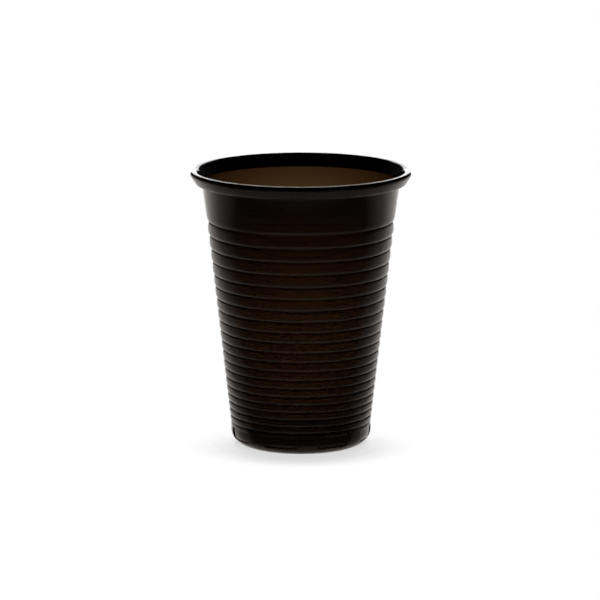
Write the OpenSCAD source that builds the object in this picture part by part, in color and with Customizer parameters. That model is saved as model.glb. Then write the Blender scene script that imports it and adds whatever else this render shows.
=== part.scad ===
// Disposable drinking cup, formed in one piece from thin clear smoke-brown plastic sheet.
// The origin is the middle of the foot, on the surface that the cup stands on, with +Z up.

/* [Cup] */
// Height from the standing ring to the crown of the rim
cup_h = 88.2; // [84:0.2:110]
// Outside diameter over the rolled rim
rim_d = 70.3; // [68:0.1:76]
// Outside diameter of the foot band
foot_d = 44.5; // [40:0.5:47]

/* [Sheet thickness] */
// Wall between the lowest groove and the smooth band
rib_wall = 0.28; // [0.2:0.02:0.4]
// Wall of the smooth band under the rim
band_wall = 0.38; // [0.24:0.02:0.5]
// Sheet in the rolled rim, which is hardly stretched
rim_wall = 0.5; // [0.3:0.05:0.55]
// Wall of the foot and the raised base
base_wall = 0.3; // [0.2:0.02:0.5]

/* [Rolled rim] */
// Thickness of the roll, from the mouth face to the outer face
roll_w = 2.3; // [2.25:0.05:2.8]
// Length of the outer face, from the rounded corner to the curl
roll_face = 2.6; // [2:0.05:4]
// Lean of the roll away from the vertical, in degrees
roll_lean = 31; // [24:1:36]
// How far the curl turns back under the roll, in degrees
curl_turn = 95; // [60:5:100]
// Rounding of the outer corner of the roll
corner_round = 1; // [0.8:0.05:1.1]
// Rounding of the mouth where the band turns out into the roll
flare_round = 3; // [1:0.5:4]

/* [Smooth band] */
// Height from the top groove to the crown
band_h = 16.35; // [14:0.05:20]
// Outside diameter of the band just below the roll
band_d = 62.6; // [61:0.1:66]
// Slope of the band away from the vertical, in degrees
band_slope = 8.1; // [5:0.1:10]
// Radius of the curve from the band in to the top groove
band_curve = 4.5; // [3.5:0.1:6]

/* [Ribs] */
// Number of stepped ribs
ribs = 20; // [14:1:22]
// Height of each rib as a share of the one above it
rib_ratio = 0.964; // [0.95:0.002:1.02]
// Width of the ledge at the top of each rib
ledge = 0.32; // [0.2:0.02:0.45]
// Radius of the curve that draws in the lower part of each rib
rib_curve = 2.8; // [2:0.1:4]
// How far the top groove lies inside the band
groove_in = 2.15; // [1.5:0.05:2.5]

/* [Foot] */
// Height of the foot band, up to the lowest groove
foot_h = 7.2; // [6.5:0.1:9]
// Radius of the corner between the foot band and the standing ring
foot_round = 5; // [4:0.1:6]
// Number of recessed windows around the foot
windows = 8; // [6:1:9]
// Angle from the front of the cup to the first window, in degrees
window_turn = 27.7; // [0:0.1:45]
// Width of a window
window_w = 10.7; // [8:0.1:12]
// Lower edge of the windows above the surface
window_low = 2.4; // [1.5:0.1:3]
// Upper edge of the windows above the surface
window_top = 6.2; // [5:0.1:6.4]
// Rounding of the corners of a window
window_round = 0.9; // [0.4:0.1:1.4]
// Depth of a window
window_depth = 0.35; // [0.2:0.05:0.5]

/* [Base] */
// Diameter of the hollow under the base
hollow_d = 31.8; // [26:0.2:33]
// Height of the hollow under the base
hollow_h = 3.6; // [2.5:0.1:3.9]
// Rounding of the edge of the standing ring
ring_round = 0.5; // [0.2:0.1:0.8]
// Slope of the side of the hollow, in degrees
hollow_slope = 8; // [2:1:15]

/* [Hidden] */

$fn = 96;
smoke = [0.16, 0.10, 0.06, 0.85];
over = 1;               // how far a cutting form runs past what it cuts
band_gauge = 0.5;       // how far below the roll the band's diameter is taken
arc_steps = 4;          // straight lines in a short arc of the section
foot_steps = 6;         // straight lines in the long arc of the foot
bead_steps = 3;         // straight lines in the bead behind a groove

foot_r = foot_d / 2;
groove_low_r = foot_r - ledge;
groove_top_r = band_d / 2 - groove_in;
groove_top_z = cup_h - band_h;
ribs_h = groove_top_z - foot_h;
// First term of the row of rib heights that adds up to ribs_h
rib_first = rib_ratio == 1 ? ribs_h / ribs : ribs_h * (1 - rib_ratio) / (1 - pow(rib_ratio, ribs));

// Height of a groove, counted from 0 at the top to ribs at the foot
function groove_z(k) =
    rib_ratio == 1 ? groove_top_z - k * rib_first
                   : groove_top_z - rib_first * (1 - pow(rib_ratio, k)) / (1 - rib_ratio);

// Radius at the bottom of a groove, on one straight taper from top to foot
function groove_r(k) =
    groove_low_r + (groove_top_r - groove_low_r) * (groove_z(k) - foot_h) / ribs_h;

function unit(v) = v / norm(v);

// Points of an arc about a centre
function arc(centre, radius, from, to, steps) =
    [for (i = [0:steps]) let (a = from + (to - from) * i / steps)
        centre + radius * [cos(a), sin(a)]];

// Arc that rounds the corner at b between a and c
function rounded(a, b, c, radius, steps) =
    let (u = unit(a - b),
         v = unit(c - b),
         half = acos(u * v) / 2,
         centre = b + unit(u + v) * radius / sin(half),
         p = b + u * radius / tan(half) - centre,
         q = b + v * radius / tan(half) - centre,
         from = atan2(p[1], p[0]),
         turn = (atan2(q[1], q[0]) - from + 540) % 360 - 180)
    arc(centre, radius, from, from + turn, steps);

// Rolled rim: a flat roll that leans out, seen as a section at the right of the axis
down = [-sin(roll_lean), -cos(roll_lean)];
out = [cos(roll_lean), -sin(roll_lean)];
// Rounding of the crown: it takes what the outer corner leaves of the roll's level top
crown_round = (roll_w / cos(roll_lean) - corner_round * tan(45 + roll_lean / 2)) / tan(45 - roll_lean / 2);
corner_centre = [rim_d / 2 - corner_round, cup_h - corner_round];
crown_centre = [corner_centre[0], cup_h - crown_round];
curl_centre = corner_centre + corner_round * out + roll_face * down - roll_w / 2 * out;

// Point where two lines meet, each given by a point and a direction
function meet(p, u, q, v) =
    let (t = ((q - p)[0] * v[1] - (q - p)[1] * v[0]) / (u[0] * v[1] - u[1] * v[0])) p + t * u;

band_up = [sin(band_slope), cos(band_slope)];
band_out = [cos(band_slope), -sin(band_slope)];
band_top = [band_d / 2, curl_centre[1] - roll_w / 2 - band_gauge];

// Curve from the band in to the top groove: it leaves the band's line and ends in the groove
top_groove = [groove_r(0), groove_z(0)];
band_gap = (band_top - top_groove) * band_out;
band_sweep = acos(1 - band_gap / band_curve);
band_centre = top_groove + band_curve * [-cos(band_slope + band_sweep), sin(band_slope + band_sweep)];

// Reach of a rib past the groove below it, and the turn of its lower curve
function rib_r(k) = groove_r(k) + ledge;
function rib_turn(k) = acos(1 - (rib_r(k) - groove_r(k + 1)) / rib_curve);
function rib_centre(k) = [rib_r(k) - rib_curve, groove_z(k + 1) + rib_curve * sin(rib_turn(k))];

// Outer side of the ribs, from the top groove down
outer_ribs = [for (k = [0:ribs - 1])
    each concat([[rib_r(k), groove_z(k)]],
                arc(rib_centre(k), rib_curve, 0, -rib_turn(k), arc_steps))];

// Mouth side of one groove: a round bead of the sheet's thickness behind it
function bead(k, turn) =
    let (stop = 360 - acos(min(0, ledge - rib_wall) / rib_wall))
    arc([groove_r(k), groove_z(k)], rib_wall, 180 - turn, stop, bead_steps);

// Mouth side of the ribs, from the top groove down
inner_ribs = [for (k = [0:ribs - 1])
    each concat([[rib_r(k) - rib_wall, groove_z(k) - rib_wall]],
                arc(rib_centre(k), rib_curve - rib_wall, 0, -rib_turn(k), arc_steps),
                k < ribs - 1 ? bead(k + 1, rib_turn(k)) : [])];

foot_centre = [foot_r - foot_round, foot_round];
hollow_r = hollow_d / 2;
hollow_top_r = hollow_r - hollow_h * tan(hollow_slope);

// Outer side of the rim, from the curl's tip up over the roll to the mouth
rim_outer = concat(
    arc(curl_centre, roll_w / 2, -roll_lean - curl_turn, -roll_lean, 2 * arc_steps),
    arc(corner_centre, corner_round, -roll_lean, 90, 2 * arc_steps),
    arc(crown_centre, crown_round, 90, 180 - roll_lean, arc_steps));

// Hollow side of the rim, from the band up into the roll and down to the curl's tip
hollow_round = crown_round - rim_wall;
rim_hollow = concat(
    [meet(band_top, band_up, crown_centre - hollow_round * out, down)],
    arc(crown_centre, hollow_round, 180 - roll_lean, 90, arc_steps),
    arc(corner_centre, corner_round - rim_wall, 90, -roll_lean, 2 * arc_steps),
    arc(curl_centre, roll_w / 2 - rim_wall, -roll_lean, -roll_lean - curl_turn, 2 * arc_steps));

// Mouth side of the rim and the band, from the level of the crown down to the top groove
mouth_top = crown_centre - crown_round * out;
mouth_edge = meet([0, cup_h], [1, 0], mouth_top, down);
band_inner = meet(band_top - band_wall * band_out, band_up, mouth_top, down);
mouth_side = concat(
    rounded(mouth_top, band_inner, band_inner - band_up, flare_round, arc_steps),
    arc(band_centre, band_curve - band_wall, -band_slope, -band_slope - band_sweep, arc_steps),
    bead(0, band_slope + band_sweep));

// Outer side of the band, from the roll down to the top groove
band_outer = arc(band_centre, band_curve, -band_slope, -band_slope - band_sweep, arc_steps);

// Corner between the foot band and the standing ring, at a depth inside the outer face
function foot_arc(depth) = arc(foot_centre, foot_round - depth, 0, -90, foot_steps);

// Solid form of the cup's outside, with its rolled rim and the hollow under its base
module outside() {
    rotate_extrude()
        polygon(concat(
            [[0, hollow_h], [hollow_top_r, hollow_h]],
            rounded([hollow_top_r, hollow_h], [hollow_r, 0], [foot_centre[0], 0], ring_round, arc_steps),
            [for (i = [foot_steps:-1:0]) foot_arc(0)[i]],
            [for (i = [len(outer_ribs) - 1:-1:0]) outer_ribs[i]],
            [for (i = [arc_steps:-1:0]) band_outer[i]],
            rim_hollow,
            rim_outer,
            [[0, mouth_top[1]]]));
}

// Solid form of the space inside the cup, up past the crown
module inside() {
    rotate_extrude()
        polygon(concat(
            [[0, cup_h + over], [mouth_edge[0], cup_h + over], mouth_edge],
            mouth_side,
            inner_ribs,
            foot_arc(base_wall),
            [[hollow_r + base_wall, base_wall],
             [hollow_top_r + base_wall, hollow_h + base_wall],
             [0, hollow_h + base_wall]]));
}

// Foot without its lugs, at a depth inside the outer face: what the windows leave standing
module foot_core(depth) {
    rotate_extrude()
        polygon(concat([[0, 0]], [for (i = [foot_steps:-1:0]) foot_arc(depth)[i]],
                       [[foot_r - depth, foot_h], [0, foot_h]]));
}

// Flat outline of one window, grown by a margin on every side
module window_outline(grow) {
    radius = window_round + grow;
    half_w = window_w / 2 - window_round;
    low = window_low + window_round;
    high = window_top - window_round;
    union() {
        translate([-half_w - radius, low]) square([2 * (half_w + radius), high - low]);
        translate([-half_w, low - radius]) square([2 * half_w, high - low + 2 * radius]);
        for (x = [-half_w, half_w], y = [low, high]) translate([x, y]) circle(radius);
    }
}

// Ring of windows: what lies between the foot's outer face and its core
module window_ring(grow, depth) {
    difference() {
        for (k = [0:windows - 1])
            rotate([0, 0, window_turn + k * 360 / windows])
                translate([0, -foot_r / 2, 0])
                    rotate([90, 0, 0])
                        linear_extrude(foot_r) window_outline(grow);
        foot_core(depth);
    }
}

module cup() {
    color(smoke)
        difference() {
            outside();
            window_ring(0, window_depth);
            difference() {
                inside();
                window_ring(base_wall, window_depth + base_wall);
            }
        }
}

cup();
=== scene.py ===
# %% [markdown]
# # A ribbed drinks-machine cup in smoke-brown plastic
#
# The object is one thin sheet of clear brown polystyrene, formed over a mould into a tapered cup with stepped
# ribs, a rolled rim and shallow windows around its foot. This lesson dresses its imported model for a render.
# Everything that a viewer notices here comes from two things: how a wall of a third of a millimetre darkens
# the light that passes it, and how its gloss mirrors a bright backdrop behind it. So the mesh is a true
# closed sheet with two sides, and the light is a bright back with a dark front.

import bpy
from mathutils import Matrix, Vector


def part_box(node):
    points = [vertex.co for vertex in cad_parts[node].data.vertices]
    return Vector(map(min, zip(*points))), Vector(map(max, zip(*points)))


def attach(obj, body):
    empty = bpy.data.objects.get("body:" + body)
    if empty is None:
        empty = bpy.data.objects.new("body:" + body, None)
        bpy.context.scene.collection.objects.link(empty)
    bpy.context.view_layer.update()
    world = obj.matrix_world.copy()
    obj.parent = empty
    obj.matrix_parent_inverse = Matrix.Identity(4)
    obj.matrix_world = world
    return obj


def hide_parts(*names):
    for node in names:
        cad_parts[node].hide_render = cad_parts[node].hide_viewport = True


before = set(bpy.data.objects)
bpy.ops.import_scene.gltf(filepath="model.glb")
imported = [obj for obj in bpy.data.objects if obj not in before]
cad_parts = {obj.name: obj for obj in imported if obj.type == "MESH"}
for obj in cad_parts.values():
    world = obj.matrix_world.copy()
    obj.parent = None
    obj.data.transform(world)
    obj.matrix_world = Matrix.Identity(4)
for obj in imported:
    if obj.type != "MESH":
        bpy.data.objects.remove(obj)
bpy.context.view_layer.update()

# %% [markdown]
# ## Units
#
# Blender works in metres here, and a cup is drawn in millimetres. All sizes below are millimetres, and one
# factor turns them into metres where an object is made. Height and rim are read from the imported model, so the
# visible cup can't outgrow it.

# %% Units and overall size
import math

import bpy
from mathutils import Vector

MM = 0.001
low_corner, high_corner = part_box("cup")
cup_h = high_corner[2] / MM
rim_r = high_corner[0] / MM
print(f"cup height {cup_h:.2f} mm, rim radius {rim_r:.2f} mm")

# %% [markdown]
# ## Camera
#
# The cup is seen from a little above and from far away, which is why its sides hardly converge. A camera
# 1.5 m away with a long lens gives that look. The lens length follows from how many pixels one unit of slope
# covers in a square picture that is 600 pixels wide.

# %% Camera
picture_px = 600
focal_px = 4809
camera_away = 1500
camera_up = 333.8
camera_side = -0.27
look_down = math.radians(10.855)
sensor_width = 36
near_clip = 100
far_clip = 20000

camera = bpy.data.objects.new("camera", bpy.data.cameras.new("camera"))
camera.data.sensor_width = sensor_width
camera.data.lens = focal_px / picture_px * sensor_width
camera.data.clip_start = near_clip * MM
camera.data.clip_end = far_clip * MM
camera.location = Vector((camera_side, -camera_away, camera_up)) * MM
camera.rotation_euler = (math.radians(90) - look_down, 0, 0)
bpy.context.scene.collection.objects.link(camera)
bpy.context.scene.camera = camera
print(f"lens {camera.data.lens:.1f} mm")

# %% [markdown]
# ## Drawing the section
#
# A round cup is a section turned about its axis. The section is drawn as points of radius and height. Three
# small helpers draw all of its curves: an arc about a centre, an arc that rounds a corner, and the point
# where two straight lines meet.

# %% Helpers for the section
def arc(centre, radius, start, end, steps):
    """Points of an arc. 0 degrees points away from the axis and 90 degrees points up."""
    turns = [math.radians(start + (end - start) * i / steps) for i in range(steps + 1)]
    return [centre + radius * Vector((math.cos(t), math.sin(t))) for t in turns]


def rounded(a, b, c, radius, steps):
    """Arc that rounds the corner at b between a and c."""
    u = (a - b).normalized()
    v = (c - b).normalized()
    half = math.acos(u.dot(v)) / 2
    centre = b + (u + v).normalized() * radius / math.sin(half)
    p = b + u * radius / math.tan(half) - centre
    q = b + v * radius / math.tan(half) - centre
    start = math.degrees(math.atan2(p.y, p.x))
    turn = (math.degrees(math.atan2(q.y, q.x)) - start + 180) % 360 - 180
    return arc(centre, radius, start, start + turn, steps)


def meet(p, u, q, v):
    """Point where the line through p along u meets the line through q along v."""
    gap = q - p
    return p + u * (gap.x * v.y - gap.y * v.x) / (u.x * v.y - u.y * v.x)


# %% [markdown]
# ## The sheet
#
# A forming mould draws the sheet down from the rim, so its thickness changes slowly on the way. Pairs of a
# height and a thickness say how. A thinner wall is paler, because the plastic's colour comes from its depth.

# %% Thickness of the sheet by height
sheet = [(7, 0.27), (20, 0.275), (40, 0.26), (62, 0.285), (72, 0.31), (77.5, 0.33), (84, 0.42)]
rim_wall = 0.5


def gauge(z):
    """Thickness of the sheet at a height."""
    for (low_z, low_t), (high_z, high_t) in zip(sheet, sheet[1:]):
        if z <= high_z:
            return low_t + (high_t - low_t) * max(z - low_z, 0) / (high_z - low_z)
    return sheet[-1][1]


def inner_arc(centre, radius, start, end, steps):
    """Mouth side of the sheet along an arc of its outer side."""
    points = arc(centre, radius, start, end, steps)
    return [p - gauge(p.y) / radius * (p - centre) for p in points]


# %% [markdown]
# ## The rolled rim
#
# The mouth of a formed cup is heated and rolled outward, which hides the cut edge and stiffens the mouth. The
# roll leans out, with a level top that is pressed flat, a straight outer face and a curl that turns back
# under it. Its sheet is the thickest of the whole cup, so it looks almost black.

# %% Rim section
roll_w = 2.3
roll_face = 2.6
roll_lean = 31
curl_turn = 95
corner_round = 1

lean = math.radians(roll_lean)
half_turn = math.radians(45)
down = Vector((-math.sin(lean), -math.cos(lean)))
out = Vector((math.cos(lean), -math.sin(lean)))
corner_share = corner_round * math.tan(half_turn + lean / 2)
crown_round = (roll_w / math.cos(lean) - corner_share) / math.tan(half_turn - lean / 2)
corner_centre = Vector((rim_r - corner_round, cup_h - corner_round))
crown_centre = Vector((corner_centre.x, cup_h - crown_round))
curl_centre = corner_centre + corner_round * out + roll_face * down - roll_w / 2 * out

rim_outer = arc(curl_centre, roll_w / 2, -roll_lean - curl_turn, -roll_lean, 12)
rim_outer += arc(corner_centre, corner_round, -roll_lean, 90, 10)
rim_outer += arc(crown_centre, crown_round, 90, 180 - roll_lean, 8)[1:]
mouth_top = crown_centre - crown_round * out
print(f"rim: {len(rim_outer)} outer points, crown rounded by {crown_round:.2f} mm")

# %% [markdown]
# ## The smooth band
#
# Below the roll lies a plain conical band, which flares into the roll at the top and curves in to the first
# groove at the bottom. Its wall is thicker than that of the ribs, because the sheet there was drawn less.

# %% Band section
band_h = 16.35
band_r = 31.3
band_gauge = 0.5
band_slope = 8.1
band_curve = 4.5
flare_round = 3
ledge = 0.32
groove_in = 2.15

slope = math.radians(band_slope)
band_up = Vector((math.sin(slope), math.cos(slope)))
band_out = Vector((math.cos(slope), -math.sin(slope)))
band_top = Vector((band_r, curl_centre.y - roll_w / 2 - band_gauge))
top_groove = Vector((band_r - groove_in, cup_h - band_h))
band_gap = (band_top - top_groove).dot(band_out)
band_sweep = math.degrees(math.acos(1 - band_gap / band_curve))
band_turn = math.radians(band_slope + band_sweep)
band_centre = top_groove + band_curve * Vector((-math.cos(band_turn), math.sin(band_turn)))
print(f"band: curve of {band_sweep:.1f} degrees into the top groove")

# %% Both sides of the band and the hollow of the roll
hollow_round = crown_round - rim_wall
rim_hollow = [meet(band_top, band_up, crown_centre - hollow_round * out, down)]
rim_hollow += arc(crown_centre, hollow_round, 180 - roll_lean, 90, 6)
rim_hollow += arc(corner_centre, corner_round - rim_wall, 90, -roll_lean, 8)[1:]
rim_hollow += arc(curl_centre, roll_w / 2 - rim_wall, -roll_lean, -roll_lean - curl_turn, 10)
band_foot = inner_arc(band_centre, band_curve, -band_slope, -band_slope - band_sweep, 6)
wall_top = band_top - gauge(band_top.y) * band_out
band_inner = meet(wall_top, wall_top - band_foot[0], mouth_top, down)
mouth_side = rounded(mouth_top, band_inner, band_foot[0], flare_round, 8) + band_foot
band_outer = arc(band_centre, band_curve, -band_slope - band_sweep, -band_slope, 6)
print(f"band: {gauge(band_top.y):.2f} mm thick at its top, {gauge(top_groove.y):.2f} mm at the top groove")

# %% [markdown]
# ## The stepped ribs
#
# Twenty steps ring the wall. Each has a narrow ledge, a straight stretch and a curve that draws in to the
# next groove, and each is a little lower than the one above. The steps stiffen the thin wall, and let the
# fingers hold a hot drink. A tiny round along each ledge catches the light as it does on the real edge.

# %% Rib section
ribs = 20
rib_ratio = 0.964
rib_curve = 2.8
ledge_round = 0.09
foot_r = 22.25
foot_h = 7.2

groove_low_r = foot_r - ledge
ribs_h = top_groove.y - foot_h
rib_first = ribs_h * (1 - rib_ratio) / (1 - rib_ratio**ribs)


def groove(k):
    """Bottom of groove k, counted from 0 under the band. The grooves lie on one straight taper."""
    z = top_groove.y - rib_first * (1 - rib_ratio**k) / (1 - rib_ratio)
    return Vector((groove_low_r + (top_groove.x - groove_low_r) * (z - foot_h) / ribs_h, z))


def rib_sides(k):
    """Outer and inner points of rib k, from its ledge down to the next groove."""
    top, foot = groove(k), groove(k + 1)
    reach = top.x + ledge
    turn = math.degrees(math.acos(1 - (reach - foot.x) / rib_curve))
    centre = Vector((reach - rib_curve, foot.y + rib_curve * math.sin(math.radians(turn))))
    edge = Vector((reach, top.y))
    outer = [top] + rounded(top, edge, centre + Vector((rib_curve, 0)), ledge_round, 3)
    outer += arc(centre, rib_curve, 0, -turn, 5)
    inner = [edge - gauge(edge.y) * Vector((1, 1))] + inner_arc(centre, rib_curve, 0, -turn, 5)
    if k < ribs - 1:
        inner += bead(foot, turn)
    return outer[:-1], inner


def bead(bottom, turn):
    """Round bead of the sheet's thickness on the mouth side of a groove."""
    return arc(bottom, gauge(bottom.y), 180 - turn, 270, 4)[1:]


rib_rows = [rib_sides(k) for k in range(ribs)]
outer_ribs = [p for outer, _ in rib_rows for p in outer]
inner_ribs = bead(top_groove, band_slope + band_sweep) + [p for _, inner in rib_rows for p in inner]
print(f"ribs: {len(outer_ribs)} outer and {len(inner_ribs)} inner points, first rib {rib_first:.2f} mm high")

# %% [markdown]
# ## The foot and its windows
#
# The foot is a plain band with a large corner radius down to the ring that the cup stands on. Eight shallow
# windows are pressed into it. They aren't cut with a boolean, which would leave long thin faces in such a
# thin sheet. Instead the rows and columns of the mesh crowd where a window's edge passes, and the points
# inside it are pushed in along the sheet's normal, on both of its sides.

# %% Foot section
base_wall = 0.3
foot_round = 5
hollow_r = 15.9
hollow_h = 3.6
hollow_slope = 8
ring_round = 0.5
windows = 8
window_turn = 27.7
window_w = 10.7
window_low = 2.4
window_top = 6.2
window_round = 0.9
window_depth = 0.35
window_soft = 0.36
past_edge = 0.2
past_round = 0.1
plain_rows = [4.0, 4.65, foot_h]
corner_up_to = 54

foot_centre = Vector((foot_r - foot_round, foot_round))


def spread(start, end, steps):
    """Evenly spaced numbers from start to end."""
    return [start + (end - start) * i / steps for i in range(steps + 1)]


def foot_row(z):
    """Point of the foot's outer side at a height, and the direction that points out of the sheet there."""
    if z >= foot_round:
        return Vector((foot_r, z)), Vector((1, 0))
    rise = (z - foot_round) / foot_round
    normal = Vector((math.sqrt(1 - rise * rise), rise))
    return foot_centre + foot_round * normal, normal


edge_rows = spread(window_low - past_edge, window_low + window_round + past_round, 11)
edge_rows += spread(window_top - window_round - past_round, window_top + past_edge, 11)
heights = [foot_round * (1 - math.cos(math.radians(a))) for a in spread(0, corner_up_to, 9)]
foot_rows = [foot_row(z) for z in heights + edge_rows + plain_rows]
foot_rows.sort(key=lambda row: row[0].y)

hollow_top_r = hollow_r - hollow_h * math.tan(math.radians(hollow_slope))
base_under = [Vector((0, hollow_h)), Vector((hollow_top_r / 2, hollow_h))]
base_under += rounded(base_under[0], Vector((hollow_top_r, hollow_h)), Vector((hollow_r, 0)), ring_round, 4)
base_under += rounded(Vector((hollow_top_r, hollow_h)), Vector((hollow_r, 0)), foot_rows[0][0], ring_round, 4)
trough = Vector((hollow_r + base_wall, base_wall))
floor_edge = Vector((hollow_top_r + base_wall, hollow_h + base_wall))
base_over = rounded(foot_centre + Vector((0, base_wall - foot_round)), trough, floor_edge, ring_round / 2, 3)
base_over += rounded(trough, floor_edge, Vector((0, floor_edge.y)), ring_round + base_wall, 4)
base_over += [Vector((hollow_top_r / 2, floor_edge.y)), Vector((0, floor_edge.y))]
print(f"foot: {len(foot_rows)} rows, from {foot_rows[0][0].y:.2f} to {foot_rows[-1][0].y:.2f} mm")

# %% [markdown]
# The share of a window at a place is 1 inside it, 0 outside it and slides from one to the other across its
# edge. It comes from the distance to a rectangle with rounded corners, which takes three lines.

# %% Shape of a window
window_pitch = 360 / windows


def window_share(angle, z, grow):
    """How far a place on the foot is inside a window: 0 is outside it and 1 is on its floor."""
    off = (angle + 90 - window_turn + window_pitch / 2) % window_pitch - window_pitch / 2
    across = abs(foot_r * math.sin(math.radians(off))) - window_w / 2 + window_round
    along = abs(z - (window_low + window_top) / 2) - (window_top - window_low) / 2 + window_round
    distance = math.hypot(max(across, 0), max(along, 0)) + min(max(across, along), 0) - window_round - grow
    share = min(max(0.5 - distance / window_soft, 0), 1)
    return share * share * (3 - 2 * share)


# %% [markdown]
# ## Columns
#
# The cup is turned in even columns, which keep its outline round. In the foot, more columns are put where the
# sides of a window pass, and each even column is kept, so that the foot joins the ribs above it exactly.

# %% Columns around the axis
even_steps = 18
even = [window_pitch / even_steps * i for i in range(windows * even_steps)]
even = [window_turn - 90 - window_pitch / 2 + a for a in even]
side_places = spread(window_w / 2 - window_round - past_round, window_w / 2 + past_edge, 11)
side_angles = [math.degrees(math.asin(x / foot_r)) for x in side_places]
fine = list(even)
for k in range(windows):
    middle = window_turn - 90 + k * window_pitch
    fine += [middle + sign * a for sign in (-1, 1) for a in side_angles]
fine.sort()
print(f"columns: {len(even)} even ones, {len(fine)} in the foot")

# %% [markdown]
# ## Turning the section into a mesh
#
# The rings of the section are listed once round the sheet: from the axis under the base, out over the foot,
# up the outside, round the roll, down the inside and back to the axis. A ring is a function from an angle to
# a point. That closed skin is what lets the renderer tell the plastic from the air.

# %% Rings of the whole sheet
def plain_ring(point):
    """Ring of the even columns through a point of the section."""
    if point.x < 1e-6:
        return [(0, 0, point.y * MM)]
    turns = [math.radians(a) for a in even]
    return [(point.x * math.cos(t) * MM, point.x * math.sin(t) * MM, point.y * MM) for t in turns]


def foot_ring(row, wall, grow):
    """Ring of the fine columns, pushed in along the normal where a window is."""
    point, normal = row
    ring = []
    for angle in fine:
        push = wall + window_depth * window_share(angle, point.y, grow)
        place = point - push * normal
        t = math.radians(angle)
        ring.append((place.x * math.cos(t) * MM, place.x * math.sin(t) * MM, place.y * MM))
    return ring


outside = outer_ribs[::-1] + band_outer[1:] + rim_hollow + rim_outer
inside = mouth_side + inner_ribs
rings = [plain_ring(p) for p in base_under]
rings += [foot_ring(row, 0, 0) for row in foot_rows[1:]]
rings += [plain_ring(p) for p in outside + inside]
rings += [foot_ring(row, base_wall, base_wall / 2) for row in foot_rows[:0:-1]]
rings += [plain_ring(p) for p in base_over]
print(f"{len(rings)} rings")

# %% [markdown]
# Neighbouring rings are joined by quads. Where the even columns meet the fine ones, a face takes all the fine
# points between two even columns, so the skin stays closed with no seam.

# %% Faces between the rings
even_in_fine = [fine.index(a) for a in even]


def between(a, b):
    """Faces that join ring a to ring b, each a list of places in the two rings."""
    n = max(len(a), len(b))
    if len(a) == 1:
        return [[(0, 0), (1, (j + 1) % n), (1, j)] for j in range(n)]
    if len(b) == 1:
        return [[(0, j), (0, (j + 1) % n), (1, 0)] for j in range(n)]
    if len(a) == len(b):
        return [[(0, j), (0, (j + 1) % n), (1, (j + 1) % n), (1, j)] for j in range(n)]
    faces = []
    for j in range(len(even)):
        start = even_in_fine[j]
        end = even_in_fine[(j + 1) % len(even)]
        span = [(start + s) % n for s in range((end - start) % n + 1)]
        ends = [j, (j + 1) % len(even)]
        if len(a) > len(b):
            faces.append([(0, s) for s in span] + [(1, e) for e in ends[::-1]])
        else:
            faces.append([(0, e) for e in ends] + [(1, s) for s in span[::-1]])
    return faces


vertices = []
starts = []
for ring in rings:
    starts.append(len(vertices))
    vertices += ring
faces = []
for i in range(len(rings) - 1):
    faces += [[starts[i + side] + place for side, place in face] for face in between(rings[i], rings[i + 1])]

# %% Cup mesh
sharp_over = 30
mesh = bpy.data.meshes.new("cup_sheet")
mesh.from_pydata(vertices, [], faces)
mesh.validate()
mesh.polygons.foreach_set("use_smooth", [True] * len(mesh.polygons))
mesh.set_sharp_from_angle(angle=math.radians(sharp_over))
cup = bpy.data.objects.new("cup_sheet", mesh)
bpy.context.scene.collection.objects.link(cup)
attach(cup, "root")
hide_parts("cup")
triangles = sum(len(p.vertices) - 2 for p in mesh.polygons)
print(f"cup: {len(mesh.vertices)} points, {triangles} triangles")

# %% [markdown]
# ## Colours and nodes
#
# Colours are written as sRGB hex values, as a colour picker shows them, and one function turns them into the
# linear numbers that the renderer works with. One more function adds a node with its settings and links.

# %% Helpers for materials
def linear(code):
    """Linear red, green, blue and alpha of an sRGB hex colour."""
    parts = [int(code[i : i + 2], 16) / 255 for i in (1, 3, 5)]
    return [p / 12.92 if p <= 0.04045 else ((p + 0.055) / 1.055) ** 2.4 for p in parts] + [1]


def add(tree, kind, inputs=None, **settings):
    """Adds a node. inputs maps a socket to a value or to another node's output."""
    node = tree.nodes.new(kind)
    for name, value in settings.items():
        setattr(node, name, value)
    for socket, value in (inputs or {}).items():
        if isinstance(value, bpy.types.NodeSocket):
            tree.links.new(value, node.inputs[socket])
        else:
            node.inputs[socket].default_value = value
    return node


# %% [markdown]
# ## Smoke-brown crystal polystyrene
#
# Crystal polystyrene is the clear, hard and brittle plastic of such cups. Its index of refraction is 1.59, so
# its gloss is a little stronger than that of window glass. The brown comes from a dye in the sheet, which is
# why it is drawn as absorption inside a clear body: one wall looks coffee-brown, two look nearly black, and
# the roll, where the sheet is thickest, is darkest of all. Forming leaves the sheet a little wavy, by about a
# thousandth of a millimetre, which bends the reflections slightly.

# %% Smoke-brown crystal polystyrene
absorption_per_m = 12700
dye_colour = [0.333, 0.197, 0.0, 1]
wave_mm = 7
wave_detail = 1.5
wave_height = 0.02
wave_strength = 0.1
gloss_rough = (0.01, 0.03)
refraction = 1.59

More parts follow.
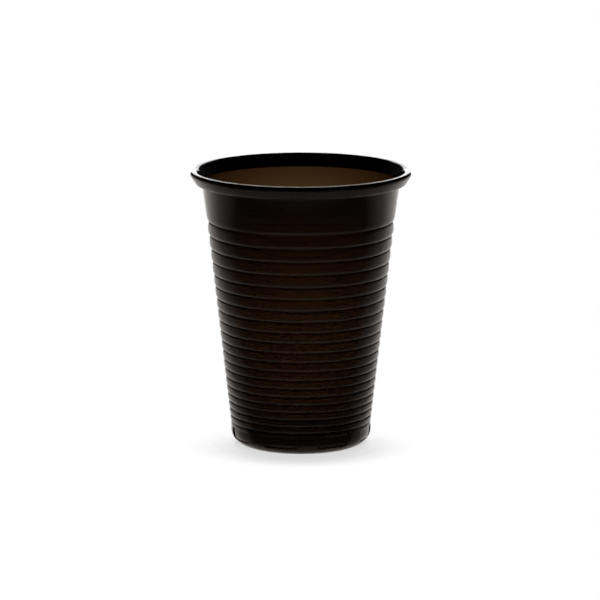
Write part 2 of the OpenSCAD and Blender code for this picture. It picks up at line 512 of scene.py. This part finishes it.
plastic = bpy.data.materials.new("smoke_brown_crystal_polystyrene")
plastic.use_nodes = True
tree = plastic.node_tree
tree.nodes.clear()
place = add(tree, "ShaderNodeTexCoord")
spot = place.outputs["Object"]
waves = add(tree, "ShaderNodeTexNoise", {"Vector": spot, "Scale": 1 / (wave_mm * MM), "Detail": wave_detail})
haze = add(tree, "ShaderNodeTexNoise", {"Vector": spot, "Scale": 1 / (2 * wave_mm * MM)})
roughness = add(
    tree, "ShaderNodeMapRange",
    {
        "Value": haze.outputs["Fac"],
        "From Min": 0.3,
        "From Max": 0.7,
        "To Min": gloss_rough[0],
        "To Max": gloss_rough[1],
    },
)
bump = add(
    tree, "ShaderNodeBump",
    {"Height": waves.outputs["Fac"], "Strength": wave_strength, "Distance": wave_height * MM},
)
surface = add(
    tree, "ShaderNodeBsdfPrincipled",
    {
        "Base Color": linear("#FFFFFF"),
        "Roughness": roughness.outputs["Result"],
        "IOR": refraction,
        "Transmission Weight": 1.0,
        "Normal": bump.outputs["Normal"],
    },
)
dye = add(tree, "ShaderNodeVolumeAbsorption", {"Color": dye_colour, "Density": absorption_per_m})
add(
    tree, "ShaderNodeOutputMaterial",
    {"Surface": surface.outputs["BSDF"], "Volume": dye.outputs["Volume"]},
)
mesh.materials.append(plastic)
one_wall = absorption_per_m * gauge(60) * MM
print("one wall passes", [round(math.exp(-one_wall * (1 - c)), 4) for c in dye_colour[:3]])

# %% [markdown]
# ## Floor
#
# The cup stands on white paper that the backdrop's glow almost drowns. So the paper is mixed with clear
# nothing: close to the foot enough of it is left for a soft shadow, and further out it is gone. Its mirror
# image in the gloss of the foot is left out, because a glowing backdrop leaves none there.

# %% Floor
floor_half = 200
floor_drop = 0.02
fade_from = 24
fade_to = 40
drowned = 0.68

floor_mesh = bpy.data.meshes.new("floor")
corners = [(-1, -1), (1, -1), (1, 1), (-1, 1)]
corners = [(x * floor_half * MM, y * floor_half * MM, -floor_drop * MM) for x, y in corners]
floor_mesh.from_pydata(corners, [], [(0, 1, 2, 3)])
floor = bpy.data.objects.new("floor", floor_mesh)
floor.visible_glossy = False
bpy.context.scene.collection.objects.link(floor)

paper = bpy.data.materials.new("matt_white_backdrop_paper")
paper.use_nodes = True
tree = paper.node_tree
tree.nodes.clear()
place = add(tree, "ShaderNodeTexCoord")
away = add(tree, "ShaderNodeVectorMath", {0: place.outputs["Object"]}, operation="LENGTH")
fade = add(
    tree, "ShaderNodeMapRange",
    {"Value": away.outputs["Value"], "From Min": fade_from * MM, "From Max": fade_to * MM, "To Min": drowned},
    interpolation_type="SMOOTHSTEP",
)
matt = add(tree, "ShaderNodeBsdfDiffuse", {"Color": linear("#F4F4F4")})
clear = add(tree, "ShaderNodeBsdfTransparent")
mix = add(
    tree, "ShaderNodeMixShader",
    {0: fade.outputs["Result"], 1: matt.outputs["BSDF"], 2: clear.outputs["BSDF"]},
)
add(tree, "ShaderNodeOutputMaterial", {"Surface": mix.outputs["Shader"]})
floor_mesh.materials.append(paper)

# %% [markdown]
# ## Backdrop
#
# A thing like this is lit from behind in a studio: a white backdrop glows behind it and the room around the
# camera stays dark. The camera and what it sees through the plastic get plain white. A reflection sees that
# white as a share that falls off from the back to the front. Above the horizon it sees a dark room, and far
# below it the lit table. The plastic's edges pick up the white, and the grooves pick up the table.

# %% Backdrop in the world
# Pairs of depth and share of white, from straight in front at -1 to straight behind at 1
sweep = [(-1, 0.02), (-0.7, 0.02), (0, 0.03), (0.5, 0.23)]
sweep += [(0.743, 0.52), (0.906, 0.7), (0.978, 0.9), (1, 1)]
sweep_warmth = 0.12
above_share = 0.03
table_glow = [0.13, 0.115, 0.1]

bpy.context.scene.view_settings.view_transform = "Standard"
world = bpy.data.worlds.new("studio")
bpy.context.scene.world = world
world.use_nodes = True
tree = world.node_tree
tree.nodes.clear()
place = add(tree, "ShaderNodeTexCoord")
axes = add(tree, "ShaderNodeSeparateXYZ", {0: place.outputs["Generated"]})
half = add(tree, "ShaderNodeMath", {0: axes.outputs["Y"], 1: 0.5, 2: 0.5}, operation="MULTIPLY_ADD")
ramp = add(tree, "ShaderNodeValToRGB", {"Fac": half.outputs["Value"]})
for depth, grey in sweep[1:-1]:
    ramp.color_ramp.elements.new((depth + 1) / 2)
for element, (depth, grey) in zip(ramp.color_ramp.elements, sweep):
    warmth = sweep_warmth * (1 - grey)
    element.position = (depth + 1) / 2
    element.color = (grey * (1 + warmth), grey, grey * (1 - warmth), 1)
rise = add(
    tree, "ShaderNodeMapRange",
    {"Value": axes.outputs["Z"], "From Min": -0.15, "From Max": 0.05, "To Min": 1, "To Max": above_share},
    interpolation_type="SMOOTHSTEP",
)
below = add(
    tree, "ShaderNodeMapRange",
    {"Value": axes.outputs["Z"], "From Min": -0.9, "From Max": -0.6, "To Min": 1, "To Max": 0},
    interpolation_type="SMOOTHSTEP",
)
table = add(
    tree, "ShaderNodeVectorMath",
    {0: table_glow, "Scale": below.outputs["Result"]},
    operation="SCALE",
)
room = add(
    tree, "ShaderNodeVectorMath",
    {0: ramp.outputs["Color"], 1: rise.outputs["Result"], 2: table.outputs["Vector"]},
    operation="MULTIPLY_ADD",
)
ray = add(tree, "ShaderNodeLightPath")
seen = add(
    tree, "ShaderNodeMath",
    {0: ray.outputs["Is Camera Ray"], 1: ray.outputs["Is Transmission Ray"]},
    operation="MAXIMUM",
)
view_mix = add(
    tree, "ShaderNodeMix",
    {0: seen.outputs["Value"], 6: room.outputs["Vector"], 7: linear("#FFFFFF")},
    data_type="RGBA",
)
glow = add(tree, "ShaderNodeBackground", {"Color": view_mix.outputs[2], "Strength": 1.0})
add(tree, "ShaderNodeOutputWorld", {"Surface": glow.outputs["Background"]})
print("sweep seen in the gloss, front to back:", [grey for depth, grey in sweep])

# %% [markdown]
# ## Lamps
#
# A large soft lamp hangs above and a little behind the cup. It lights the floor evenly and draws the soft
# shadow at the foot. A second one stands behind the cup and reaches well above it. Only the gloss sees it,
# and it draws the bright line along the crown and the white glints at both ends of the rim.

# %% Lamps
def soft_lamp(name, place, aim, width, height, watts):
    """Adds a rectangular soft lamp that faces a point. Sizes are in millimetres."""
    light = bpy.data.lights.new(name, "AREA")
    light.shape = "RECTANGLE"
    light.size = width * MM
    light.size_y = height * MM
    light.energy = watts
    lamp = bpy.data.objects.new(name, light)
    lamp.location = Vector(place) * MM
    lamp.rotation_euler = (Vector(aim) - Vector(place)).to_track_quat("-Z", "Y").to_euler()
    bpy.context.scene.collection.objects.link(lamp)
    lamp.visible_camera = False
    lamp.visible_transmission = False
    return lamp


top_lamp = soft_lamp("top_softbox", (0, 250, 900), (0, 0, 0), 700, 700, 15)
top_lamp.visible_glossy = False
back_lamp = soft_lamp("back_softbox", (0, 900, 260), (0, 0, 88), 600, 700, 2.9)
back_lamp.visible_diffuse = False
